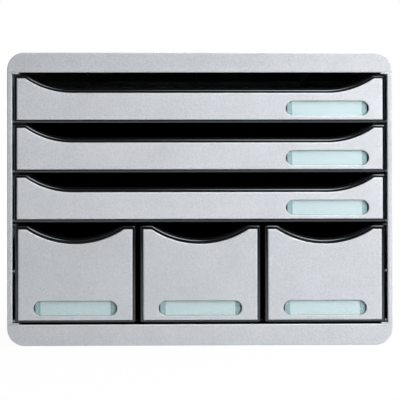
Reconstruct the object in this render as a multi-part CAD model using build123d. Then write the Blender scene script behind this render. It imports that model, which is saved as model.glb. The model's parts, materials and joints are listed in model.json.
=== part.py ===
"""Desktop drawer organizer: a two-shell case with three wide drawers over three small deep ones.

Millimetres. +X to the right as seen from the front, +Y to the back, +Z up.
The origin is on the table, in the middle of the case's width and depth.
"""

from build123d import *
from collections import namedtuple
import math
import os

# Case, outside
CASE_WIDTH = 355.0
CASE_DEPTH = 270.0
CORNER_RADIUS = 16.0
BOTTOM_BAND = 19.4
TOP_BAND = 18.5
FOOT_STAND = 1.0
EDGE_CHAMFER = 0.7

# Drawer stack
UNITS = 5
UNIT_PITCH = 45.8
SMALL_COLUMNS = 3
SMALL_UNITS = 2
SHELF_STEP = 0.95
FRAME_GAP = 2.0
LOW_GAP = 1.6
TOP_GAP = 2.55
WIDE_SIDE_GAP = 1.4
SMALL_SIDE_GAP = 2.4
COLUMN_GAP = 4.2
SHELF_CLEARANCE = 1.3
DRAWER_TRAVEL = 190.0

# Shells
SHELL_WALL = 2.5
SEAM_LAND = 1.0
SHELL_RIB = 1.6
SHELL_RIB_HEIGHT = 3.5
RIB_END_GAP = 8.0
GUIDE_WALL = 1.5
GUIDE_HEIGHT = 4.5

# Side panels
WEB = 3.0
BEAD_WIDTH = 4.5
BEAD_DEPTH = 5.0
BEAD_ROUND = 1.0
FLANGE_REACH = 10.5
FLANGE = 1.4
SEAM_CHAMFER = 0.4
TONGUES = 3
TONGUE_LENGTH = 24.0
TONGUE_HEIGHT = 5.0
TONGUE = 1.8
TONGUE_GAP = 0.5
GROOVE_RIB = 2.2
GROOVE_REACH = 4.0

# Runners and stops
LEDGE = 2.0
LEDGE_RISE = 0.6
LEDGE_UNDER = 3.9
RUN_GAP = 0.1
TOOTH_REACH = 4.0
TOOTH_LENGTH = 6.0
STOP_GAP = 0.3
TAB_DROP = 1.8

# Back panel, shelf and dividers
BACK_PANEL = 2.0
BACK_TUCK = 6.0
SLIDE_GAP = 0.3
SHELF = 2.0
SHELF_RIB = 1.5
SHELF_RIB_HEIGHT = 3.0
DIVIDER = 2.0
INNER_RECESS = 24.0

# Feet
FOOT_DIAMETER = 16.0
FOOT_RECESS = 1.2
FOOT_INSET_X = 34.0
FOOT_INSET_Y = 28.0

# Drawer tray
FRONT_RECESS = 2.0
FRAME = 3.2
FRAME_CORNER = 2.0
FRAME_CHAMFER = 1.0
RIM = 2.6
TRAY_WALL = 2.0
TRAY_FLOOR = 2.0
TRAY_CORNER = 8.0
TRAY_BEVEL = 1.6
TRAY_BACK_GAP = 4.3
BODY_INSET = 5.2
WALL_DROP = 8.0
BEAD_OUT = 1.2
BEAD_TALL = 2.0
SKID_INSET = 1.5
SKID = 2.4
SKID_END = 2.0

# Finger scoop in the drawer's upper edge
SCOOP_FLAT = 11.4
SCOOP_DROP = 13.5
WIDE_SCOOP_RUN = 42.4
LIP_RISE = 2.0
LIP_BELOW_TOP = 1.0

# Front panel
PANEL = 2.2
PANEL_PROUD = 0.6
PANEL_GAP = 0.15
PANEL_CHAMFER = 0.8
SMALL_PANEL_DROP = 0.6
LUG_WIDTH = 5.0
LUG_HEIGHT = 2.5
LUG_LENGTH = 2.0
LUG_GAP = 0.1
LUG_INSET_X = 5.0
LUG_INSET_Z = 4.0
WIDE_LUGS = 3
SMALL_LUGS = 2

# Label
WINDOW_WIDTH = 77.0
WINDOW_HEIGHT = 14.1
WINDOW_RISE = 13.3
WINDOW_CHAMFER = 0.4
WIDE_WINDOW_FROM_RIGHT = 54.0
SLEEVE_SHORT = 1.5
SLEEVE_OVERLAP = 0.6
SLEEVE_DEPTH = 1.8
SLEEVE_WALL = 0.6
SLEEVE_GAP = 0.1
CARD_INSET = 4.75
CARD = 0.3
CARD_GAP = 0.15

# Places that follow from the sizes above
HALF_WIDTH = CASE_WIDTH / 2
FRONT = -CASE_DEPTH / 2
BACK = CASE_DEPTH / 2
LOWER_SEAM = FOOT_STAND + BOTTOM_BAND
STACK_FOOT = LOWER_SEAM + LOW_GAP
UPPER_SEAM = STACK_FOOT + UNITS * UNIT_PITCH + SHELF_STEP - FRAME_GAP + TOP_GAP
CASE_HEIGHT = UPPER_SEAM + TOP_BAND
INNER_HALF = HALF_WIDTH - BEAD_WIDTH
WEB_FACE = HALF_WIDTH - WEB
FRAME_FRONT = FRONT + FRONT_RECESS
FRONT_WALL = FRAME + TRAY_WALL
BACK_FACE = BACK - SHELL_WALL - SLIDE_GAP
BACK_INSIDE = BACK_FACE - BACK_PANEL
RUNNER_BACK = BACK_INSIDE - SLIDE_GAP - GROOVE_RIB
RUNNER_FRONT = FRAME_FRONT + FRAME + STOP_GAP
TOOTH_FRONT = FRAME_FRONT + FRONT_WALL + STOP_GAP
TOOTH_BACK = TOOTH_FRONT + TOOTH_LENGTH
INNER_FRONT = TOOTH_BACK + INNER_RECESS
SMALL_WIDTH = (2 * (INNER_HALF - SMALL_SIDE_GAP) - (SMALL_COLUMNS - 1) * COLUMN_GAP) / SMALL_COLUMNS
COLUMN_PITCH = SMALL_WIDTH + COLUMN_GAP
OUTER_COLUMN = COLUMN_PITCH * (SMALL_COLUMNS - 1) / 2
LEDGE_EDGE = OUTER_COLUMN + SMALL_WIDTH / 2 - LEDGE_UNDER
SHELF_LEVEL = STACK_FOOT + SMALL_UNITS * UNIT_PITCH + SHELF_STEP
SHELF_TOP = SHELF_LEVEL + LEDGE_RISE - RUN_GAP
SHELF_BOTTOM = SHELF_TOP - SHELF
SHELL_FLOOR = FOOT_STAND + SHELL_WALL
POCKET = PANEL - PANEL_PROUD
TRAY_BOTTOM = LEDGE_RISE + LEDGE + RUN_GAP
TRAY_DEPTH = BACK_INSIDE - TRAY_BACK_GAP - FRAME_FRONT
TAB_FRONT = TOOTH_BACK + STOP_GAP + DRAWER_TRAVEL - FRAME_FRONT
SLEEVE_FRONT = POCKET
SLEEVE_WIDTH = WINDOW_WIDTH - 2 * SLEEVE_SHORT
SLEEVE_HEIGHT = WINDOW_HEIGHT + 2 * SLEEVE_OVERLAP
SLOT_HEIGHT = SLEEVE_HEIGHT - 2 * SLEEVE_WALL
CARD_WIDTH = SLEEVE_WIDTH - 2 * CARD_INSET

# Reach of a search for an edge at a known place
TOUCH = 0.01

# A kind of drawer: size of its front frame, run of the scoop's arcs, how far its panel sits low in the
# frame, the panel's lugs along its foot, the window's place from its middle, free edge of its ledges
DrawerKind = namedtuple("DrawerKind", "width height scoop_run panel_drop foot_lugs window_x ledge_edge")
WIDE_WIDTH = 2 * (INNER_HALF - WIDE_SIDE_GAP)
WIDE = DrawerKind(
    WIDE_WIDTH,
    UNIT_PITCH - FRAME_GAP,
    WIDE_SCOOP_RUN,
    0.0,
    WIDE_LUGS,
    WIDE_WIDTH / 2 - WIDE_WINDOW_FROM_RIGHT,
    LEDGE_EDGE,
)
SMALL = DrawerKind(
    SMALL_WIDTH,
    SMALL_UNITS * UNIT_PITCH + SHELF_STEP - FRAME_GAP - SHELF_CLEARANCE,
    SMALL_WIDTH / 2 - SCOOP_FLAT,
    SMALL_PANEL_DROP,
    SMALL_LUGS,
    0.0,
    SMALL_WIDTH / 2 - LEDGE_UNDER,
)

# Each drawer: name, kind, middle, lowest unit that it fills
DRAWERS = [
    ("top_drawer", WIDE, 0.0, 4),
    ("middle_drawer", WIDE, 0.0, 3),
    ("lower_drawer", WIDE, 0.0, 2),
    ("left_small_drawer", SMALL, -OUTER_COLUMN, 0),
    ("centre_small_drawer", SMALL, 0.0, 0),
    ("right_small_drawer", SMALL, OUTER_COLUMN, 0),
]
STOPPED_LEVELS = sorted({level for _, _, _, level in DRAWERS})


def slab(profile, front, back):
    """A profile, drawn as it is seen from the front, solid from one depth to another."""
    return extrude(Plane.XZ.offset(-back) * profile, back - front)


def rect(x0, x1, z0, z1):
    """A rectangle between two corners of the front view."""
    return Pos((x0 + x1) / 2, (z0 + z1) / 2) * Rectangle(x1 - x0, z1 - z0)


def disc(radius, height):
    """A cylinder that stands on its lower face."""
    return extrude(Circle(radius), height)


def upright_edge(body, x, y):
    """The longest vertical edge of a body at a place in plan."""
    found = body.edges().filter_by(Axis.Z)
    found = found.filter_by_position(Axis.X, x - TOUCH, x + TOUCH)
    found = found.filter_by_position(Axis.Y, y - TOUCH, y + TOUCH)
    return found.sort_by(SortBy.LENGTH)[-1]


def level_z(level):
    """Height of the lower edge of the drawer frames on a level."""
    step = SHELF_STEP if level >= SMALL_UNITS else 0
    return STACK_FOOT + level * UNIT_PITCH + step


def shell(band):
    """A shallow tray standing on its floor: the case's bottom and, turned over, its top."""
    corner = min(CORNER_RADIUS, band - SEAM_LAND)
    outline = rect(-HALF_WIDTH, HALF_WIDTH, 0, band)
    outline = fillet(outline.vertices().group_by(Axis.Y)[0], corner)
    hollow = rect(SHELL_WALL - HALF_WIDTH, HALF_WIDTH - SHELL_WALL, SHELL_WALL, band)
    hollow = fillet(hollow.vertices().group_by(Axis.Y)[0], corner - SHELL_WALL)
    body = slab(outline, FRONT, BACK)
    ends = body.faces().filter_by(Axis.Y)
    body = chamfer([edge for face in ends for edge in face.edges()], EDGE_CHAMFER)
    body -= slab(hollow, FRONT + SHELL_WALL, BACK - SHELL_WALL)
    rib = rect(-SHELL_RIB / 2, SHELL_RIB / 2, SHELL_WALL, SHELL_WALL + SHELL_RIB_HEIGHT)
    rib_end = SHELL_WALL + RIB_END_GAP
    for column in range(SMALL_COLUMNS):
        x = column * COLUMN_PITCH - OUTER_COLUMN
        body += Pos(x, 0, 0) * slab(rib, FRONT + rib_end, BACK - rib_end)
    return body


def bottom_shell():
    """The lower shell, with foot recesses below and a guide slot for each divider inside."""
    body = Pos(0, 0, FOOT_STAND) * shell(BOTTOM_BAND)
    guide = rect(-GUIDE_WALL, 0, SHELL_FLOOR, SHELL_FLOOR + GUIDE_HEIGHT)
    guide = Pos(-DIVIDER / 2 - SLIDE_GAP, 0) * guide
    guide += mirror(guide, Plane.YZ)
    for x in divider_places():
        body += Pos(x, 0, 0) * slab(guide, INNER_FRONT, RUNNER_BACK)
    for x, y in foot_places():
        body -= Pos(x, y, FOOT_STAND) * disc(FOOT_DIAMETER / 2 + SLIDE_GAP, FOOT_RECESS)
    return body


def top_shell():
    """The upper shell: the same moulding turned over."""
    return Pos(0, 0, CASE_HEIGHT) * Rot(180, 0, 0) * shell(TOP_BAND)


def divider_places():
    """Middle of each divider between two small drawers."""
    first = COLUMN_PITCH / 2 - OUTER_COLUMN
    return [first + gap * COLUMN_PITCH for gap in range(SMALL_COLUMNS - 1)]


def foot_places():
    """Middle of each foot, front left first."""
    x = HALF_WIDTH - FOOT_INSET_X
    y = BACK - FOOT_INSET_Y
    return [(-x, -y), (x, -y), (-x, y), (x, y)]


def ledge_profile(inner, outer, level):
    """Section of a runner ledge on a level, from its free edge to the wall that carries it."""
    low = level_z(level) + LEDGE_RISE
    return rect(inner, outer, low, low + LEDGE)


def side_panel():
    """The right-hand panel: a channel with a runner ledge on each level and a groove at the back."""
    web = rect(WEB_FACE, HALF_WIDTH, LOWER_SEAM, UPPER_SEAM)
    flange_edge = HALF_WIDTH - FLANGE_REACH
    flanges = rect(flange_edge, WEB_FACE, LOWER_SEAM, LOWER_SEAM + FLANGE)
    flanges += rect(flange_edge, WEB_FACE, UPPER_SEAM - FLANGE, UPPER_SEAM)
    bead = rect(INNER_HALF, WEB_FACE, LOWER_SEAM + FLANGE, UPPER_SEAM - FLANGE)
    groove = rect(WEB_FACE - GROOVE_REACH, WEB_FACE, LOWER_SEAM, UPPER_SEAM)
    panel = slab(web, FRONT, BACK)
    panel += slab(flanges, FRONT, RUNNER_BACK)
    panel += slab(bead, FRONT, FRONT + BEAD_DEPTH)
    panel += slab(groove, BACK_FACE + SLIDE_GAP, BACK)
    panel += slab(groove, RUNNER_BACK, RUNNER_BACK + GROOVE_RIB)
    for level in range(UNITS):
        panel += slab(ledge_profile(LEDGE_EDGE, WEB_FACE, level), RUNNER_FRONT, RUNNER_BACK)
    for level in STOPPED_LEVELS:
        tooth = ledge_profile(LEDGE_EDGE - TOOTH_REACH, LEDGE_EDGE, level)
        panel += slab(tooth, TOOTH_FRONT, TOOTH_BACK)
    shelf_rib = rect(
        WEB_FACE - GROOVE_REACH, WEB_FACE, SHELF_BOTTOM - RUN_GAP - SHELF_RIB, SHELF_BOTTOM - RUN_GAP
    )
    panel += slab(shelf_rib, TOOTH_BACK, RUNNER_BACK)
    panel += panel_tongues()
    seams = panel.edges().filter_by(Axis.Y).group_by(Axis.X)[-1]
    panel = chamfer(seams, SEAM_CHAMFER)
    panel = fillet(upright_edge(panel, INNER_HALF, FRONT), BEAD_ROUND)
    return chamfer(upright_edge(panel, HALF_WIDTH, FRONT), EDGE_CHAMFER)


def panel_tongues():
    """Tongues on the side panel's flanges, which reach down and up inside the shells' walls."""
    outer = HALF_WIDTH - SHELL_WALL - TONGUE_GAP
    tongue = rect(outer - TONGUE, outer, LOWER_SEAM - TONGUE_HEIGHT, LOWER_SEAM)
    tongue += rect(outer - TONGUE, outer, UPPER_SEAM, UPPER_SEAM + TONGUE_HEIGHT)
    spacing = CASE_DEPTH / TONGUES
    row = slab(tongue, -TONGUE_LENGTH / 2, TONGUE_LENGTH / 2)
    return [Pos(0, place.position.X, 0) * row for place in GridLocations(spacing, 1, TONGUES, 1)]


def back_panel():
    """The plate that closes the back, held in the side panels' grooves and behind the shells' walls."""
    half = WEB_FACE - SLIDE_GAP
    plate = rect(-half, half, LOWER_SEAM - BACK_TUCK, UPPER_SEAM + BACK_TUCK)
    return slab(plate, BACK_INSIDE, BACK_FACE)


def middle_shelf():
    """The shelf under the lowest wide drawer, with a slot below for the top of each divider."""
    half = WEB_FACE - SLIDE_GAP
    profile = rect(-half, half, SHELF_BOTTOM, SHELF_TOP)
    for x in divider_places():
        for side in (-1, 1):
            near = DIVIDER / 2 + SLIDE_GAP
            inner, outer = sorted((x + side * near, x + side * (near + SHELF_RIB)))
            profile += rect(inner, outer, SHELF_BOTTOM - SHELF_RIB_HEIGHT, SHELF_BOTTOM)
    return slab(profile, INNER_FRONT, RUNNER_BACK)


def divider(x):
    """An upright between two small drawers, with a runner ledge and a stop tooth on both sides."""
    web = rect(-DIVIDER / 2, DIVIDER / 2, SHELL_FLOOR + RUN_GAP, SHELF_BOTTOM - RUN_GAP)
    reach = COLUMN_GAP / 2 + LEDGE_UNDER
    upright = slab(web, INNER_FRONT, BACK_INSIDE - SLIDE_GAP)
    upright += slab(ledge_profile(-reach, reach, 0), RUNNER_FRONT, RUNNER_BACK)
    stop = reach + TOOTH_REACH
    upright += slab(ledge_profile(-stop, stop, 0), TOOTH_FRONT, TOOTH_BACK)
    return Pos(x, 0, 0) * upright


def foot(place):
    """A rubber pad pressed into the bottom shell's recess."""
    x, y = place
    return Pos(x, y, 0) * disc(FOOT_DIAMETER / 2, FOOT_STAND + FOOT_RECESS)


def scooped(kind, height):
    """A drawer front's outline: a rectangle with two arcs and a straight floor in its upper edge."""
    half = kind.width / 2
    floor = height - SCOOP_DROP
    floor_half = half - SCOOP_FLAT - kind.scoop_run
    turn = 2 * math.degrees(math.atan2(SCOOP_DROP, kind.scoop_run))
    radius = (kind.scoop_run**2 + SCOOP_DROP**2) / (2 * SCOOP_DROP)
    arc = JernArc((floor_half, floor), (1, 0), radius, turn)
    side = Curve() + [arc, Polyline(arc @ 1, (half, height), (half, 0), (0, 0))]
    if floor_half > TOUCH:
        side += Line((0, floor), arc @ 0)
    return make_face(side + mirror(side, Plane.YZ))


def inset_outline(kind, inset):
    """The outline of a drawer's front panel or of its pocket, drawn in from the frame on all sides."""
    outline = offset(scooped(kind, kind.height), -inset, kind=Kind.INTERSECTION)
    return Pos(0, -kind.panel_drop) * outline


def tray_plan(half, back, corner):
    """A tray's plan from the back of its front wall, with round back corners."""
    plan = rect(-half, half, FRONT_WALL, back)
    return fillet(plan.vertices().group_by(Axis.Y)[-1], corner)


def tray_body(kind):
    """The floor, side walls, back wall and skids of a tray."""
    half = kind.width / 2 - BODY_INSET
    wall_top = kind.height - WALL_DROP
    outside = tray_plan(half, TRAY_DEPTH, TRAY_CORNER)
    inside = tray_plan(half - TRAY_WALL, TRAY_DEPTH - TRAY_WALL, TRAY_CORNER - TRAY_WALL)
    bead = tray_plan(half + BEAD_OUT, TRAY_DEPTH + BEAD_OUT, TRAY_CORNER + BEAD_OUT)
    body = extrude(Pos(0, 0, TRAY_BOTTOM) * outside, wall_top - TRAY_BOTTOM)
    body += extrude(Pos(0, 0, wall_top - BEAD_TALL) * bead, BEAD_TALL)
    cavity = extrude(Pos(0, 0, TRAY_BOTTOM + TRAY_FLOOR) * inside, kind.height)
    body -= chamfer(cavity.faces().sort_by(Axis.Z)[0].edges(), TRAY_BEVEL)
    skid = rect(half, kind.width / 2 - SKID_INSET, TRAY_BOTTOM, TRAY_BOTTOM + SKID)
    body += slab(skid + mirror(skid, Plane.YZ), FRAME, TRAY_DEPTH - TRAY_CORNER - SKID_END)
    tab_outer = kind.ledge_edge - STOP_GAP
    tab = rect(tab_outer - TOOTH_REACH, tab_outer, TRAY_BOTTOM - TAB_DROP, TRAY_BOTTOM)
    body += slab(tab + mirror(tab, Plane.YZ), TAB_FRONT, TAB_FRONT + TOOTH_LENGTH)
    return body


def front_wall(kind):
    """The tray's front: a rimmed frame, and behind it a wall that stands higher along the scoop."""
    outline = scooped(kind, kind.height)
    columns = outline.vertices().group_by(Axis.X)
    frame = slab(fillet(columns[0] + columns[-1], FRAME_CORNER), 0, FRAME)
    frame = chamfer(frame.faces().sort_by(Axis.Y)[0].edges(), FRAME_CHAMFER)
    frame -= slab(inset_outline(kind, RIM), 0, POCKET)
    half = kind.width / 2 - BODY_INSET
    behind = rect(-half, half, TRAY_BOTTOM, kind.height - LIP_BELOW_TOP)
    behind &= scooped(kind, kind.height + LIP_RISE)
    return frame + slab(behind, FRAME, FRONT_WALL)


def lug_places(kind):
    """Places on a drawer front of the lugs that hold its panel."""
    half = kind.width / 2 - RIM - LUG_INSET_X
    low = RIM + LUG_INSET_Z
    high = kind.height - RIM - LUG_INSET_Z
    spans = kind.foot_lugs - 1
    lower = [(-half + 2 * half * i / spans, low) for i in range(kind.foot_lugs)]
    return lower + [(-half, high), (half, high)]


def lugs(kind, gap):
    """The lugs behind a front panel or, with a gap round them, their holes."""
    section = Rectangle(LUG_WIDTH + 2 * gap, LUG_HEIGHT + 2 * gap)
    sections = [Pos(*place) * section for place in lug_places(kind)]
    return slab(Sketch() + sections, POCKET, POCKET + LUG_LENGTH + gap)


def label_block(kind, width, height, front, back):
    """A rectangular block behind the middle of a drawer's label window."""
    half_width = width / 2
    half_height = height / 2
    outline = rect(-half_width, half_width, -half_height, half_height)
    return slab(Pos(kind.window_x, WINDOW_RISE) * outline, front, back)


def tray(kind):
    """A drawer's tray in one moulding, with pockets in its front for the panel and the label."""
    body = tray_body(kind) + front_wall(kind)
    label_pocket = label_block(
        kind,
        SLEEVE_WIDTH + 2 * SLEEVE_GAP,
        SLEEVE_HEIGHT + 2 * SLEEVE_GAP,
        POCKET,
        SLEEVE_FRONT + SLEEVE_DEPTH + SLEEVE_GAP,
    )
    return body - label_pocket - lugs(kind, LUG_GAP)


def front_panel(kind):
    """The silver plate in a drawer's front, with chamfered edges, a label window and lugs behind."""
    plate = slab(inset_outline(kind, RIM + PANEL_GAP), -PANEL_PROUD, POCKET)
    plate = chamfer(plate.faces().sort_by(Axis.Y)[0].edges(), PANEL_CHAMFER)
    window = Pos(kind.window_x, WINDOW_RISE) * SlotOverall(WINDOW_WIDTH, WINDOW_HEIGHT)
    plate -= slab(window, -PANEL_PROUD, POCKET)
    window_edges = plate.faces().sort_by(Axis.Y)[0].inner_wires()[0].edges()
    plate = chamfer(window_edges, WINDOW_CHAMFER)
    return plate + lugs(kind, 0)


def label_sleeve(kind):
    """The clear sleeve behind a label window, open at both ends."""
    sleeve = label_block(kind, SLEEVE_WIDTH, SLEEVE_HEIGHT, SLEEVE_FRONT, SLEEVE_FRONT + SLEEVE_DEPTH)
    slot_front = SLEEVE_FRONT + SLEEVE_WALL
    slot_back = SLEEVE_FRONT + SLEEVE_DEPTH - SLEEVE_WALL
    return sleeve - label_block(kind, SLEEVE_WIDTH, SLOT_HEIGHT, slot_front, slot_back)


def label_card(kind):
    """The paper label in a sleeve."""
    front = SLEEVE_FRONT + SLEEVE_DEPTH / 2 - CARD / 2
    return label_block(kind, CARD_WIDTH, SLOT_HEIGHT - 2 * CARD_GAP, front, front + CARD)


def case_pieces():
    """Every piece of the case, by name."""
    right_panel = side_panel()
    pieces = {
        "bottom_shell": bottom_shell(),
        "top_shell": top_shell(),
        "right_side_panel": right_panel,
        "left_side_panel": mirror(right_panel, Plane.YZ),
        "back_panel": back_panel(),
        "middle_shelf": middle_shelf(),
    }
    for name, x in zip(("left_divider", "right_divider"), divider_places()):
        pieces[name] = divider(x)
    corners = ("front_left", "front_right", "back_left", "back_right")
    for name, place in zip(corners, foot_places()):
        pieces["foot_" + name] = foot(place)
    return pieces


def drawer_pieces():
    """Every piece of the drawers, by name, with each drawer closed."""
    makers = {"tray": tray, "front": front_panel, "label_sleeve": label_sleeve, "label_card": label_card}
    made = {(kind, part): maker(kind) for kind in (WIDE, SMALL) for part, maker in makers.items()}
    pieces = {}
    for name, kind, x, level in DRAWERS:
        place = Pos(x, FRAME_FRONT, level_z(level))
        for part in makers:
            pieces[name + "_" + part] = place * made[kind, part]
    return pieces


def main():
    """Writes every piece in its place, one file each."""
    os.makedirs("parts", exist_ok=True)
    for name, piece in {**case_pieces(), **drawer_pieces()}.items():
        export_step(piece, os.path.join("parts", name + ".step"))


if __name__ == "__main__":
    main()
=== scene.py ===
"""Desktop drawer organizer: softened mouldings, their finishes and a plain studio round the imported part.

Metres, +Z up, in the part's own frame: +X to the right as seen from the front, +Y to the back.
Each moulding keeps its node's shape and place, and gets the rounded edges and the finish of the real one.
"""

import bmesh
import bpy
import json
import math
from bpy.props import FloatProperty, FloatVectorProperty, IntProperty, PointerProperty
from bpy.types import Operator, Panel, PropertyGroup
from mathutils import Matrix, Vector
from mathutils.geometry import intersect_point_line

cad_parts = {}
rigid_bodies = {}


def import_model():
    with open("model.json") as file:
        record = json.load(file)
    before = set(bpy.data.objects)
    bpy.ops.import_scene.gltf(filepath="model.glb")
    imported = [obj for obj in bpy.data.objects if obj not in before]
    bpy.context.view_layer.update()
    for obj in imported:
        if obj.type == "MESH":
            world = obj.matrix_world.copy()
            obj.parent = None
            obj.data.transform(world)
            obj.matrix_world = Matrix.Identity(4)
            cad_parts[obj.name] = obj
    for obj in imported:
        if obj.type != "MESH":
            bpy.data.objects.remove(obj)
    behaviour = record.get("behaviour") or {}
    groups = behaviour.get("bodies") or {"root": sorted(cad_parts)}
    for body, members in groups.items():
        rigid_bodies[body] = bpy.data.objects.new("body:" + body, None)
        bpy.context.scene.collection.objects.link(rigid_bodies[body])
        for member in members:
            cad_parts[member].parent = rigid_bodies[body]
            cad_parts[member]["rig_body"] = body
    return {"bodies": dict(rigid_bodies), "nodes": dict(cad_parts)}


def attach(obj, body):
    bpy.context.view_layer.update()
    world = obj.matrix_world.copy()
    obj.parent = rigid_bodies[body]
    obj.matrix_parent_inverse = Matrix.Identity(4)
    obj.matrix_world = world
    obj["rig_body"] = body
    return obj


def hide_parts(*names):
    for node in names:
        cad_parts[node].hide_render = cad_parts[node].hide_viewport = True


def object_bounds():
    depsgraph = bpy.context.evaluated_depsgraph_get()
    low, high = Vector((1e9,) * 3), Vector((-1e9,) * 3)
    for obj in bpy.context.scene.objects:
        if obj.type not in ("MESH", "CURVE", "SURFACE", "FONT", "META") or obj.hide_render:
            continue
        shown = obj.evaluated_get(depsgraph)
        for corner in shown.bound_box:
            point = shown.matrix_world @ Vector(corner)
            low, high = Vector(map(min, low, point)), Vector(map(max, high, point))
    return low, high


bl_info = {
    "name": "Desktop Drawer Organizer",
    "version": (1, 0, 0),
    "blender": (4, 5, 0),
    "location": "3D View > Sidebar > Organizer",
    "description": "Finishes a drawer organizer's mouldings and sets it in a plain studio",
    "category": "Object",
}

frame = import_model()
CAD_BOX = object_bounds()

CASE = "case"
SMALL = "_small_"  # in the names of the small drawers' nodes
DRAWERS = sorted(body for body in frame["bodies"] if body != CASE)

TINY = 1e-6  # points that lie closer than this are one point
FLAT = math.radians(0.5)  # facets that turn by less than this are one face
ONWARD = 0.7  # cosine above which one edge runs on from another
FACING = 0.99  # cosine above which a face looks straight to the front

NOISE_LOW, NOISE_HIGH = 0.25, 0.75  # where most of the noise lies
BROAD, FINE, FIBROUS = 2, 3, 5  # layers of detail in the noise
DIMMEST = -0.9  # how far to the front a direction points where the surroundings are at their dimmest
WHITE = (1, 1, 1, 1)


# Sizes and colours that a user would change


def length(name, description, default):
    """A size in metres."""
    return FloatProperty(name=name, description=description, default=default, unit="LENGTH", precision=5)


def share(name, description, default):
    """A part of one."""
    return FloatProperty(
        name=name, description=description, default=default, min=0, max=1, subtype="FACTOR"
    )


def angle(name, description, degrees):
    """A turn, given in degrees."""
    turn = math.radians(degrees)
    return FloatProperty(name=name, description=description, default=turn, subtype="ANGLE")


def colour(name, description, default):
    """A colour in linear light."""
    return FloatVectorProperty(
        name=name, description=description, default=default, min=0, max=1, size=3, subtype="COLOR"
    )


def place(name, description, default):
    """A point in the part's frame."""
    return FloatVectorProperty(name=name, description=description, default=default, size=3, subtype="XYZ")


def power(name, description, default):
    """The power of a lamp."""
    return FloatProperty(name=name, description=description, default=default, min=0, unit="POWER")


def span(name, description, default):
    """A width and a height."""
    return FloatVectorProperty(name=name, description=description, default=default, size=2, unit="LENGTH")


def optic(name, description, default):
    """A size of the camera, in millimetres."""
    return FloatProperty(name=name, description=description, default=default, subtype="DISTANCE_CAMERA")


class OrganizerEdges(PropertyGroup):
    """How the edges of the mouldings are softened."""

    roll: length("Roll", "How far the front edge of a drawer's frame is rounded", 0.0009)
    nose: length("Nose", "How far the flanks of a chamfer are rounded", 0.0004)
    radius: length("Radius", "How far the other sharp edges are rounded", 0.00025)
    least: length("Least", "Roundings that have less room than this are left out", 0.00006)
    roll_room: share("Roll room", "Share of an edge that a frame's front rounding may take", 0.62)
    room: share("Room", "Share of an edge that another rounding may take", 0.42)
    tight_room: share("Tight room", "Share of an edge that a rounding beside a roll may take", 0.18)
    steps: IntProperty(name="Steps", description="Faces across a rounded edge", default=3, min=1)
    sharp: angle("Sharp from", "Edges that turn by more than this are rounded", 25)
    square: angle("Square from", "Edges that turn by less than this are the flanks of a chamfer", 70)
    crease: angle("Crease from", "Edges that turn by more than this still look sharp", 40)


class OrganizerSilver(PropertyGroup):
    """The silver plastic of the case and of the drawer fronts."""

    colour: colour("Colour", "Mean grey of the plastic", (0.58, 0.60, 0.635))
    # Painted light: the wide drawers' fronts wear a lighter copy of the silver, standing in for the
    # brighter light at their height.
    wide_painted_light: share("Wide fronts", "How much lighter the fronts of the wide drawers are", 0.09)
    mottle: share("Mottling", "How far the grey drifts from place to place", 0.03)
    mottle_size: length("Mottling size", "Distance over which the grey drifts", 0.025)
    fleck: share("Flecks", "How far single metal flecks differ from the mean grey", 0.12)
    fleck_size: length("Fleck size", "Width of a metal fleck", 0.0005)
    metal: share("Metal", "Share of the light that the flecks mirror", 0.35)
    roughness: share("Roughness", "Mean roughness of the surface", 0.5)
    roughness_drift: share("Roughness drift", "How far the roughness drifts", 0.05)
    grain: length("Grain depth", "Depth of the moulded grain", 0.00002)
    grain_size: length("Grain size", "Width of the moulded grain", 0.0007)


class OrganizerBlack(PropertyGroup):
    """The black plastic of the trays, the shelf, the dividers and the back."""

    colour: colour("Colour", "Mean colour of the plastic", (0.0022, 0.0024, 0.0028))
    back: colour("Back", "Mean colour of the back panel", (0.016, 0.0165, 0.0175))
    sheen: colour("Sheen", "Tint of the black's reflection", (0.80, 0.91, 1.0))
    mottle: share("Mottling", "How far the black drifts from place to place", 0.25)
    mottle_size: length("Mottling size", "Distance over which the black drifts", 0.018)
    roughness_drift: share("Roughness drift", "How far the roughness drifts", 0.05)
    front_roughness: share("Front roughness", "Mean roughness of the polished fronts", 0.1)
    front_gloss: share("Front gloss", "Strength of the polished fronts' reflection", 1.0)
    front_grain: length("Front grain", "Depth of the polished fronts' grain", 0.000005)
    front_depth: length("Front depth", "Depth of the polished part of a tray", 0.0031)
    inside_roughness: share("Inside roughness", "Mean roughness of the textured inside", 0.55)
    inside_gloss: share("Inside gloss", "Strength of the textured inside's reflection", 0.1)
    inside_grain: length("Inside grain", "Depth of the inside's spark-eroded grain", 0.00003)
    back_roughness: share("Back roughness", "Mean roughness of the back panel", 0.45)
    back_gloss: share("Back gloss", "Strength of the back panel's reflection", 0.4)
    grain_size: length("Grain size", "Width of the spark-eroded grain", 0.0006)


class OrganizerLabel(PropertyGroup):
    """The label sleeves and the cards in them."""

    sleeve: colour("Sleeve", "Tint of the clear sleeve", (0.50, 0.70, 0.72))
    body: share("Body", "How much each face of the sleeve hides", 0.3)
    sleeve_roughness: share("Sleeve roughness", "Mean roughness of the sleeve", 0.16)
    streak_size: length("Streak size", "Width of the drawn streaks in the sleeve", 0.0012)
    streak_shape: share("Streak shape", "Width of a streak as a share of its length", 0.04)
    streak: share("Streaks", "How far the streaks differ from the mean tint", 0.05)
    card: colour("Card", "Colour of the paper", (0.84, 0.83, 0.83))
    fibre: share("Fibres", "How far the paper's fibres differ from its mean colour", 0.05)
    fibre_size: length("Fibre size", "Width of the paper's fibres", 0.0004)
    fibre_depth: length("Fibre depth", "Height of the paper's fibres", 0.00002)
    card_roughness: share("Card roughness", "Mean roughness of the paper", 0.85)


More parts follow.
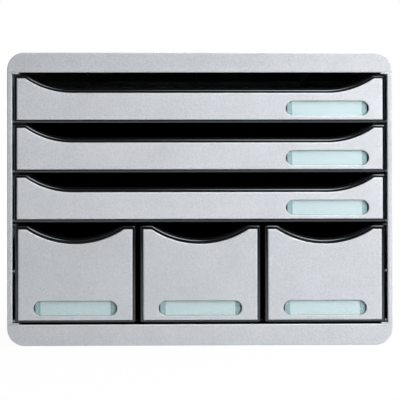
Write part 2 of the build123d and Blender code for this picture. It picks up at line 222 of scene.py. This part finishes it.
class OrganizerRubber(PropertyGroup):
    """The rubber of the feet."""

    colour: colour("Colour", "Mean colour of the rubber", (0.03, 0.03, 0.031))
    mottle: share("Mottling", "How far the colour drifts from place to place", 0.2)
    roughness: share("Roughness", "Mean roughness of the surface", 0.8)
    roughness_drift: share("Roughness drift", "How far the roughness drifts", 0.1)
    grain: length("Grain depth", "Depth of the rubber's grain", 0.00005)
    grain_size: length("Grain size", "Width of the rubber's grain", 0.0009)


class OrganizerStudio(PropertyGroup):
    """The floor, the light and the camera."""

    floor_size: length("Floor", "Side of the floor", 6.0)
    floor_colour: colour("Floor colour", "Colour of the floor", (0.66, 0.66, 0.66))
    floor_white: share("Floor white", "Share of plain white in the floor near the part", 0.955)
    floor_fade: length("Floor fade", "Distance at which the floor is plain white", 0.9)
    ambient: share("Ambient", "Strength of the even light from all sides", 0.2)
    mirrored: share("Mirrored", "Brightness of the surroundings in a surface", 0.55)
    front: share("Front", "Brightness of the surroundings behind the camera", 0.02)
    key_power: power("Key power", "Power of the lamp on the right", 11.7)
    key_span: span("Key span", "Width and height of the lamp on the right", (0.6, 0.6))
    key_place: place("Key place", "Middle of the lamp on the right", (0.75, -0.75, 0.5))
    strip_power: power("Strip power", "Power of the strip lamp in front", 4.8)
    strip_span: span("Strip span", "Width and height of the strip lamp in front", (0.5, 0.9))
    strip_place: place("Strip place", "Middle of the strip lamp in front", (0.38, -0.75, 1.2))
    top_power: power("Top power", "Power of the lamp overhead", 9.5)
    top_span: span("Top span", "Width and height of the lamp overhead", (0.8, 0.8))
    top_place: place("Top place", "Middle of the lamp overhead", (0.42, -0.3, 1.3))
    fill_power: power("Fill power", "Power of the lamp behind the part", 9.0)
    fill_span: span("Fill span", "Width and height of the lamp behind the part", (0.9, 0.9))
    fill_place: place("Fill place", "Middle of the lamp behind the part", (-0.9, 1.2, 0.5))
    camera_place: place("Camera place", "Where the camera stands", (-0.0224, -1.435, 0.1237))
    yaw: angle("Yaw", "Turn of the camera to the left", -0.979)
    tilt: angle("Tilt", "Turn of the camera upwards", 0.491)
    roll: angle("Roll", "Turn of the camera about its own view", 0.1125)
    lens: optic("Lens", "Focal length of the camera", 127.1)
    sensor: optic("Sensor", "Width of the sensor", 36)


class OrganizerSettings(PropertyGroup):
    """All sizes and colours of the organizer's dress."""

    edges: PointerProperty(type=OrganizerEdges)
    silver: PointerProperty(type=OrganizerSilver)
    black: PointerProperty(type=OrganizerBlack)
    label: PointerProperty(type=OrganizerLabel)
    rubber: PointerProperty(type=OrganizerRubber)
    studio: PointerProperty(type=OrganizerStudio)


# Finishes


def add(tree, kind, sockets, **settings):
    """A node of a kind with its settings; a socket is given a value or linked to another node's socket."""
    node = tree.nodes.new(kind)
    for name, value in settings.items():
        setattr(node, name, value)
    for name, value in sockets.items():
        if isinstance(value, bpy.types.NodeSocket):
            tree.links.new(value, node.inputs[name])
        else:
            node.inputs[name].default_value = value
    return node


def finish_tree(name):
    """A new material with only its output, and the coordinates of the piece that wears it."""
    material = bpy.data.materials.new(name)
    material.use_nodes = True
    tree = material.node_tree
    tree.nodes.clear()
    coordinates = add(tree, "ShaderNodeTexCoord", {}).outputs["Object"]
    return material, tree, coordinates


def noise(tree, coordinates, size, detail):
    """Soft noise with features of a size."""
    sockets = {"Vector": coordinates, "Scale": 1 / size, "Detail": detail}
    return add(tree, "ShaderNodeTexNoise", sockets).outputs["Fac"]


def drift(tree, value, middle, spread):
    """A noise value spread evenly about a middle."""
    made = add(
        tree,
        "ShaderNodeMapRange",
        {
            "Value": value,
            "From Min": NOISE_LOW,
            "From Max": NOISE_HIGH,
            "To Min": middle - spread,
            "To Max": middle + spread,
        },
    )
    return made.outputs["Result"]


def product(tree, first, second):
    """Two values multiplied."""
    return add(tree, "ShaderNodeMath", {0: first, 1: second}, operation="MULTIPLY").outputs["Value"]


def larger(tree, first, second):
    """The larger of two values."""
    return add(tree, "ShaderNodeMath", {0: first, 1: second}, operation="MAXIMUM").outputs["Value"]


def rise(tree, value, before, after):
    """A value that eases from one pair of limits to another."""
    made = add(
        tree,
        "ShaderNodeMapRange",
        {
            "Value": value,
            "From Min": before[0],
            "From Max": before[1],
            "To Min": after[0],
            "To Max": after[1],
        },
        interpolation_type="SMOOTHSTEP",
    )
    return made.outputs["Result"]


def shaded(tree, tint, shade):
    """A colour made lighter or darker by a value."""
    made = add(tree, "ShaderNodeVectorMath", {0: tint, "Scale": shade}, operation="SCALE")
    return made.outputs["Vector"]


def relief(tree, height, depth):
    """Fine relief of a depth."""
    made = add(tree, "ShaderNodeBump", {"Height": height, "Distance": depth, "Strength": 1.0})
    return made.outputs["Normal"]


def surface(tree, **sockets):
    """The shader that ends a finish, with its sockets named in words joined by underscores."""
    named = {name.replace("_", " "): value for name, value in sockets.items()}
    shader = add(tree, "ShaderNodeBsdfPrincipled", named)
    add(tree, "ShaderNodeOutputMaterial", {"Surface": shader.outputs["BSDF"]})


def silver_finish(name, look, painted_light_scale):
    """Silver plastic: grey with fine metal flecks, a slow random drift and a moulded grain, scaled lighter
    as painted light where a copy stands in for brighter light.
    """
    material, tree, coordinates = finish_tree(name)
    mottle = noise(tree, coordinates, look.mottle_size, BROAD)
    cells = add(tree, "ShaderNodeTexVoronoi", {"Vector": coordinates, "Scale": 1 / look.fleck_size})
    flecks = drift(tree, cells.outputs["Color"], 1, look.fleck)
    # A scale above one paints light into the grey of a lighter copy.
    shade = product(tree, drift(tree, mottle, painted_light_scale, look.mottle), flecks)
    grain = noise(tree, coordinates, look.grain_size, BROAD)
    surface(
        tree,
        Base_Color=shaded(tree, look.colour, shade),
        Metallic=look.metal,
        Roughness=drift(tree, mottle, look.roughness, look.roughness_drift),
        Normal=relief(tree, grain, look.grain),
    )
    return material


def case_finish(look):
    """The silver of the case and of the small drawers' fronts."""
    return silver_finish("silver_plastic_finish", look, 1)


def painted_light_wide_finish(look):
    """The silver of the wide drawers' fronts, made lighter as painted light for the brighter light that
    falls on them.
    """
    return silver_finish("silver_front_painted_light_finish", look, 1 + look.wide_painted_light)


def black_finish(name, look, tint, roughness, gloss, depth):
    """Black plastic: a random drift of darkness and gloss under spark-eroded grain of a depth."""
    material, tree, coordinates = finish_tree(name)
    mottle = noise(tree, coordinates, look.mottle_size, FINE)
    grain = noise(tree, coordinates, look.grain_size, FINE)
    surface(
        tree,
        Base_Color=shaded(tree, tint, drift(tree, mottle, 1, look.mottle)),
        Specular_IOR_Level=gloss,
        Specular_Tint=(*look.sheen, 1),
        Roughness=drift(tree, mottle, roughness, look.roughness_drift),
        Normal=relief(tree, grain, depth),
    )
    return material


def polished_finish(look):
    """The polished black of the drawers' front frames."""
    return black_finish(
        "black_front_finish",
        look,
        tint=look.colour,
        roughness=look.front_roughness,
        gloss=look.front_gloss,
        depth=look.front_grain,
    )


def textured_finish(look):
    """The textured black of the trays' insides and of the inner frame."""
    return black_finish(
        "black_inside_finish",
        look,
        tint=look.colour,
        roughness=look.inside_roughness,
        gloss=look.inside_gloss,
        depth=look.inside_grain,
    )


def back_finish(look):
    """The satin black of the back panel."""
    return black_finish(
        "black_back_finish",
        look,
        tint=look.back,
        roughness=look.back_roughness,
        gloss=look.back_gloss,
        depth=look.inside_grain,
    )


def sleeve_finish(look):
    """Clear plastic with an aqua tint and faint streaks along the way it was drawn."""
    material, tree, coordinates = finish_tree("label_sleeve_finish")
    stretch = add(tree, "ShaderNodeMapping", {"Vector": coordinates, "Scale": (look.streak_shape, 1, 1)})
    streaks = noise(tree, stretch.outputs["Vector"], look.streak_size, BROAD)
    surface(
        tree,
        Base_Color=shaded(tree, look.sleeve, drift(tree, streaks, 1, look.streak)),
        Roughness=drift(tree, streaks, look.sleeve_roughness, look.streak),
        Alpha=look.body,
    )
    return material


def card_finish(look):
    """Plain white paper with fibres."""
    material, tree, coordinates = finish_tree("label_card_finish")
    fibres = noise(tree, coordinates, look.fibre_size, FIBROUS)
    surface(
        tree,
        Base_Color=shaded(tree, look.card, drift(tree, fibres, 1, look.fibre)),
        Roughness=drift(tree, fibres, look.card_roughness, look.fibre),
        Normal=relief(tree, fibres, look.fibre_depth),
    )
    return material


def rubber_finish(look):
    """Matte rubber."""
    material, tree, coordinates = finish_tree("foot_rubber_finish")
    grain = noise(tree, coordinates, look.grain_size, FINE)
    surface(
        tree,
        Base_Color=shaded(tree, look.colour, drift(tree, grain, 1, look.mottle)),
        Roughness=drift(tree, grain, look.roughness, look.roughness_drift),
        Normal=relief(tree, grain, look.grain),
    )
    return material


def finish(name, maker, look):
    """The finish of a name, made the first time that it is asked for."""
    return bpy.data.materials.get(name) or maker(look)


# Mouldings


def join_facets(shape):
    """Joins the triangles of each flat face."""
    bmesh.ops.remove_doubles(shape, verts=shape.verts, dist=TINY)
    bmesh.ops.dissolve_limit(shape, angle_limit=FLAT, verts=shape.verts, edges=shape.edges)


def is_sharp(edge, edges):
    """Whether the faces at an edge turn enough for it to be rounded."""
    return edge.is_manifold and edge.calc_face_angle() > edges.sharp


def patch_of(point, inner):
    """The inner points that are joined to an inner point, itself included."""
    patch = {point}
    fresh = [point]
    while fresh:
        point = fresh.pop()
        found = ({edge.other_vert(point) for edge in point.link_edges} & inner) - patch
        patch |= found
        fresh += found
    return patch


def plain_strips(shape, edges):
    """Spans each curved chamfer with strips from edge to edge, without the points inside it."""
    sharp = {edge for edge in shape.edges if is_sharp(edge, edges)}
    inner = set(shape.verts) - {point for edge in sharp for point in edge.verts}
    while inner:
        patch = patch_of(next(iter(inner)), inner)
        inner -= patch
        faces = {face for point in patch for face in point.link_faces}
        rims = [edge for edge in sharp if not faces.isdisjoint(edge.link_faces)]
        bmesh.ops.delete(shape, geom=list(patch), context="VERTS")
        bmesh.ops.bridge_loops(shape, edges=rims)


def direction(edge):
    """The way an edge runs."""
    return (edge.verts[1].co - edge.verts[0].co).normalized()


def neighbours(edge):
    """The edges that run on from an edge at its ends, and those that leave it sideways there."""
    others = {other for end in edge.verts for other in end.link_edges} - {edge}
    onward = {other for other in others if abs(direction(other).dot(direction(edge))) > ONWARD}
    return onward, others - onward


def run_of(edge, chosen):
    """The chosen edges that run on from an edge, itself included."""
    run = {edge}
    fresh = [edge]
    while fresh:
        onward, _ = neighbours(fresh.pop())
        found = (onward & chosen) - run
        run |= found
        fresh += found
    return run


def is_flank(edge, edges):
    """Whether an edge is one of the two long edges of a chamfer."""
    return edge.calc_face_angle() < edges.square


def faces_front(edge):
    """Whether one of the faces at an edge looks straight to the front."""
    return any(face.normal.y < -FACING for face in edge.link_faces)


def opposite(edge, edges):
    """The distances from the middle of an edge to the sharp edges that lie across its faces from it."""
    middle = (edge.verts[0].co + edge.verts[1].co) / 2
    others = {other for face in edge.link_faces for other in face.edges} - {edge}
    distances = []
    for other in others:
        foot, along = intersect_point_line(middle, other.verts[0].co, other.verts[1].co)
        if 0 < along < 1 and is_sharp(other, edges):
            distances.append((foot - middle).length)
    return distances


def reach(edge, edges, rolled):
    """How far an edge can be rounded by itself, and more at the front of a piece that is rolled there."""
    wanted, room = edges.radius, edges.room
    _, sideways = neighbours(edge)
    lengths = [other.calc_length() for other in sideways]
    if is_flank(edge, edges) and rolled:
        front = faces_front(edge)
        wanted = edges.roll if front else edges.radius
        room = edges.roll_room if front else edges.tight_room
        lengths += opposite(edge, edges)
    elif is_flank(edge, edges):
        wanted = edges.nose
    return min([wanted] + [room * extent for extent in lengths])


def weigh_edges(shape, edges, rolled):
    """Marks how far each run of sharp edges is rounded, as a share of the roll, and creases the rest."""
    weight = shape.edges.layers.float.new("bevel_weight_edge")
    left = {edge for edge in shape.edges if is_sharp(edge, edges)}
    while left:
        run = run_of(next(iter(left)), left)
        left -= run
        width = min(reach(edge, edges, rolled) for edge in run)
        for edge in run:
            edge[weight] = width / edges.roll if width > edges.least else 0
    for edge in shape.edges:
        edge.smooth = edge[weight] > 0 or edge.calc_face_angle(0) < edges.crease


def soften(piece, edges):
    """Rounds a piece's marked edges and shades them evenly."""
    bevel = piece.modifiers.new("Rounded edges", "BEVEL")
    bevel.limit_method = "WEIGHT"
    bevel.offset_type = "OFFSET"
    bevel.width = edges.roll
    bevel.segments = edges.steps
    bevel.use_clamp_overlap = False
    bevel.miter_outer = "MITER_SHARP"
    shading = piece.modifiers.new("Even shading", "WEIGHTED_NORMAL")
    shading.keep_sharp = True


def moulding(node, edges, material, rolled=False):
    """The softened moulding that stands for a node, in its finish, on its body."""
    source = frame["nodes"][node]
    shape = bmesh.new()
    shape.from_mesh(source.data)
    join_facets(shape)
    plain_strips(shape, edges)
    weigh_edges(shape, edges, rolled)
    for face in shape.faces:
        face.smooth = True
    mesh = bpy.data.meshes.new(node + "_moulding")
    shape.to_mesh(mesh)
    shape.free()
    mesh.materials.append(material)
    piece = bpy.data.objects.new(node + "_moulding", mesh)
    bpy.context.scene.collection.objects.link(piece)
    soften(piece, edges)
    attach(piece, source["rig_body"])
    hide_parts(node)
    return piece


def polish_front(piece, material, depth):
    """Gives another finish to the faces of a piece that lie within a depth of its front."""
    front = min(point.co.y for point in piece.data.vertices)
    piece.data.materials.append(material)
    for face in piece.data.polygons:
        if face.center.y < front + depth:
            face.material_index = 1


def drawer_nodes(part):
    """The nodes of one part of every drawer."""
    return [drawer + "_" + part for drawer in DRAWERS]


# Stage


def ray_kinds(tree):
    """Whether a ray is the camera's own, and whether it comes from a surface that mirrors or is clear."""
    rays = add(tree, "ShaderNodeLightPath", {}).outputs
    return rays["Is Camera Ray"], larger(tree, rays["Is Glossy Ray"], rays["Is Transmission Ray"])


def studio_floor(look):
    """A pale floor that shows white and keeps the shadow."""
    half = look.floor_size / 2
    corners = [(-half, -half, 0), (half, -half, 0), (half, half, 0), (-half, half, 0)]
    mesh = bpy.data.meshes.new("studio_floor")
    mesh.from_pydata(corners, [], [(0, 1, 2, 3)])
    material, tree, coordinates = finish_tree("studio_floor_finish")
    away = add(tree, "ShaderNodeVectorMath", {0: coordinates}, operation="LENGTH").outputs["Value"]
    white_share = rise(tree, away, (0, look.floor_fade), (look.floor_white, 1))
    camera_ray, surface_ray = ray_kinds(tree)
    shown = larger(tree, camera_ray, product(tree, surface_ray, look.mirrored))
    matte = add(tree, "ShaderNodeBsdfDiffuse", {"Color": (*look.floor_colour, 1)}).outputs["BSDF"]
    white = add(tree, "ShaderNodeEmission", {"Color": WHITE, "Strength": 1}).outputs["Emission"]
    blend = add(tree, "ShaderNodeMixShader", {0: product(tree, shown, white_share), 1: matte, 2: white})
    add(tree, "ShaderNodeOutputMaterial", {"Surface": blend.outputs["Shader"]})
    mesh.materials.append(material)
    floor = bpy.data.objects.new("studio_floor", mesh)
    bpy.context.scene.collection.objects.link(floor)


def studio_world(look):
    """Even light and a white background, which dims behind the camera for all but the camera itself."""
    world = bpy.data.worlds.new("studio_world")
    world.use_nodes = True
    tree = world.node_tree
    tree.nodes.clear()
    outward = add(tree, "ShaderNodeTexCoord", {}).outputs["Generated"]
    backward = add(tree, "ShaderNodeSeparateXYZ", {"Vector": outward}).outputs["Y"]
    surround = rise(tree, backward, (DIMMEST, 0), (look.front, 1))
    camera_ray, surface_ray = ray_kinds(tree)
    level = add(tree, "ShaderNodeMix", {0: surface_ray, 2: look.ambient, 3: look.mirrored}).outputs[0]
    strength = larger(tree, camera_ray, product(tree, surround, level))
    white = add(tree, "ShaderNodeBackground", {"Color": WHITE, "Strength": strength})
    add(tree, "ShaderNodeOutputWorld", {"Surface": white.outputs["Background"]})
    bpy.context.scene.world = world


def studio_lamp(name, energy, extent, location, target, mirrored):
    """A soft box that faces a target, and that shows in surfaces if it is mirrored."""
    data = bpy.data.lights.new(name, "AREA")
    data.energy = energy
    data.shape = "RECTANGLE"
    data.size, data.size_y = extent
    lamp = bpy.data.objects.new(name, data)
    lamp.location = location
    lamp.visible_glossy = mirrored
    lamp.rotation_euler = (target - Vector(location)).to_track_quat("-Z", "Y").to_euler()
    bpy.context.scene.collection.objects.link(lamp)


def studio_camera(look):
    """The camera, level with the lower drawers and almost square to the front."""
    data = bpy.data.cameras.new("studio_camera")
    data.lens = look.lens
    data.sensor_width = look.sensor
    camera = bpy.data.objects.new("studio_camera", data)
    camera.matrix_world = (
        Matrix.Translation(look.camera_place)
        @ Matrix.Rotation(look.yaw, 4, "Z")
        @ Matrix.Rotation(look.tilt, 4, "X")
        @ Matrix.Rotation(look.roll, 4, "Y")
        @ Matrix.Rotation(math.pi / 2, 4, "X")
    )
    bpy.context.scene.collection.objects.link(camera)
    bpy.context.scene.camera = camera


# Operators


class ORGANIZER_OT_case(Operator):
    """Softens and finishes the two shells and the side panels."""

    bl_idname = "organizer.case"
    bl_label = "Case"

    def execute(self, context):
        settings = context.scene.organizer
        material = finish("silver_plastic_finish", case_finish, settings.silver)
        for node in ("bottom_shell", "top_shell", "left_side_panel", "right_side_panel"):
            moulding(node, settings.edges, material)
        return {"FINISHED"}


class ORGANIZER_OT_inner_frame(Operator):
    """Softens and finishes the back panel, the shelf and the dividers."""

    bl_idname = "organizer.inner_frame"
    bl_label = "Inner frame"

    def execute(self, context):
        settings = context.scene.organizer
        inside = finish("black_inside_finish", textured_finish, settings.black)
        back = finish("black_back_finish", back_finish, settings.black)
        for node in ("middle_shelf", "left_divider", "right_divider"):
            moulding(node, settings.edges, inside)
        moulding("back_panel", settings.edges, back)
        return {"FINISHED"}


class ORGANIZER_OT_feet(Operator):
    """Softens and finishes the four rubber feet."""

    bl_idname = "organizer.feet"
    bl_label = "Feet"

    def execute(self, context):
        settings = context.scene.organizer
        material = finish("foot_rubber_finish", rubber_finish, settings.rubber)
        for node in sorted(name for name in frame["nodes"] if name.startswith("foot_")):
            moulding(node, settings.edges, material)
        return {"FINISHED"}


class ORGANIZER_OT_trays(Operator):
    """Softens and finishes the drawers' trays."""

    bl_idname = "organizer.trays"
    bl_label = "Trays"

    def execute(self, context):
        settings = context.scene.organizer
        inside = finish("black_inside_finish", textured_finish, settings.black)
        front = finish("black_front_finish", polished_finish, settings.black)
        for node in drawer_nodes("tray"):
            tray = moulding(node, settings.edges, inside, rolled=True)
            polish_front(tray, front, settings.black.front_depth)
        return {"FINISHED"}


class ORGANIZER_OT_fronts(Operator):
    """Softens and finishes the drawers' front panels."""

    bl_idname = "organizer.fronts"
    bl_label = "Front panels"

    def execute(self, context):
        settings = context.scene.organizer
        small = finish("silver_plastic_finish", case_finish, settings.silver)
        wide = finish("silver_front_painted_light_finish", painted_light_wide_finish, settings.silver)
        for node in drawer_nodes("front"):
            # The wide fronts wear the lighter copy of the silver, which is painted light.
            material = small if SMALL in node else wide
            moulding(node, settings.edges, material)
        return {"FINISHED"}


class ORGANIZER_OT_labels(Operator):
    """Softens and finishes the label sleeves and the cards in them."""

    bl_idname = "organizer.labels"
    bl_label = "Labels"

    def execute(self, context):
        settings = context.scene.organizer
        clear = finish("label_sleeve_finish", sleeve_finish, settings.label)
        paper = finish("label_card_finish", card_finish, settings.label)
        for node in drawer_nodes("label_sleeve"):
            moulding(node, settings.edges, clear)
        for node in drawer_nodes("label_card"):
            moulding(node, settings.edges, paper)
        return {"FINISHED"}


class ORGANIZER_OT_studio(Operator):
    """Sets the floor, the light and the camera."""

    bl_idname = "organizer.studio"
    bl_label = "Studio"

    def execute(self, context):
        look = context.scene.organizer.studio
        low, high = CAD_BOX
        middle = (low + high) / 2
        studio_floor(look)
        studio_world(look)
        studio_lamp("key_lamp", look.key_power, look.key_span, look.key_place, middle, False)
        studio_lamp("strip_lamp", look.strip_power, look.strip_span, look.strip_place, middle, True)
        studio_lamp("top_lamp", look.top_power, look.top_span, look.top_place, middle, True)
        studio_lamp("fill_lamp", look.fill_power, look.fill_span, look.fill_place, middle, False)
        studio_camera(look)
        context.scene.view_settings.view_transform = "Standard"
        return {"FINISHED"}


STEPS = (
    ORGANIZER_OT_case,
    ORGANIZER_OT_inner_frame,
    ORGANIZER_OT_feet,
    ORGANIZER_OT_trays,
    ORGANIZER_OT_fronts,
    ORGANIZER_OT_labels,
    ORGANIZER_OT_studio,
)


class ORGANIZER_PT_sidebar(Panel):
    """The organizer's steps and settings in the sidebar."""

    bl_idname = "ORGANIZER_PT_sidebar"
    bl_label = "Drawer Organizer"
    bl_space_type = "VIEW_3D"
    bl_region_type = "UI"
    bl_category = "Organizer"

    def draw(self, context):
        for step in STEPS:
            self.layout.operator(step.bl_idname)
        settings = context.scene.organizer
        for group in settings.__annotations__:
            box = self.layout.box()
            box.label(text=group.capitalize())
            for name in getattr(settings, group).__annotations__:
                box.prop(getattr(settings, group), name)


GROUPS = (
    OrganizerEdges,
    OrganizerSilver,
    OrganizerBlack,
    OrganizerLabel,
    OrganizerRubber,
    OrganizerStudio,
    OrganizerSettings,
)
CLASSES = GROUPS + STEPS + (ORGANIZER_PT_sidebar,)


def register():
    """Makes the settings, the steps and the panel known."""
    for cls in CLASSES:
        bpy.utils.register_class(cls)
    bpy.types.Scene.organizer = PointerProperty(type=OrganizerSettings)


def unregister():
    """Takes away all that register made known."""
    del bpy.types.Scene.organizer
    for cls in reversed(CLASSES):
        bpy.utils.unregister_class(cls)


def main():
    """Dresses the organizer step by step."""
    register()
    for step in STEPS:
        group, name = step.bl_idname.split(".")
        getattr(getattr(bpy.ops, group), name)()


if __name__ == "__main__":
    main()
